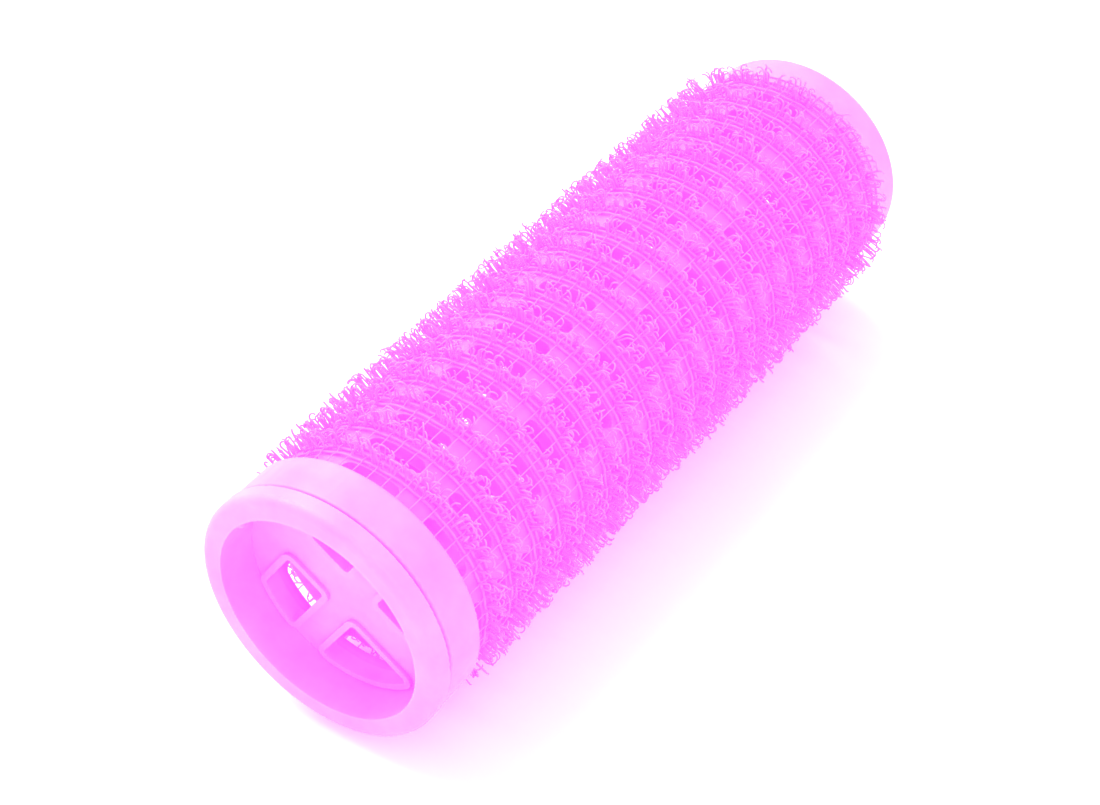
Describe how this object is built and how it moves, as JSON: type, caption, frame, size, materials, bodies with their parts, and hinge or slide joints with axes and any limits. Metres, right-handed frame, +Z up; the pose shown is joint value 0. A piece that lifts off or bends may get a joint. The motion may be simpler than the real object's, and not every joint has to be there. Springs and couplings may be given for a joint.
{
  "type": "hair roller",
  "caption": "Self-grip hair roller: a slotted plastic core with a crossed end cap, wrapped in an open cloth of small bent hooks.",
  "frame": {"origin": "on the surface that the roller lies on, under the middle of its length", "axes": "+Y along the roller from the capped end to the open end, +Z up, +X across"},
  "size_m": [0.0214, 0.063, 0.0215],
  "materials": {
    "core_plastic": "satin moulded polypropylene, slightly translucent",
    "cap_plastic": "satin moulded polypropylene, slightly translucent",
    "weft_thread": "twisted nylon thread",
    "hook_filament": "clear pink nylon monofilament"
  },
  "bodies": {
    "root": {"core_cage": "core_plastic", "front_cap": "cap_plastic", "weft_threads": "weft_thread", "hook_yarn_01": "hook_filament", "hook_yarn_02": "hook_filament", "hook_yarn_03": "hook_filament", "hook_yarn_04": "hook_filament", "hook_yarn_05": "hook_filament", "hook_yarn_06": "hook_filament", "hook_yarn_07": "hook_filament", "hook_yarn_08": "hook_filament", "hook_yarn_09": "hook_filament", "hook_yarn_10": "hook_filament", "hook_yarn_11": "hook_filament", "hook_yarn_12": "hook_filament", "hook_yarn_13": "hook_filament", "hook_yarn_14": "hook_filament", "hook_yarn_15": "hook_filament", "hook_yarn_16": "hook_filament", "hook_yarn_17": "hook_filament", "hook_yarn_18": "hook_filament", "hook_yarn_19": "hook_filament", "hook_yarn_20": "hook_filament", "hook_yarn_21": "hook_filament", "hook_yarn_22": "hook_filament", "hook_yarn_23": "hook_filament", "hook_yarn_24": "hook_filament"}
  },
  "joints": []
}
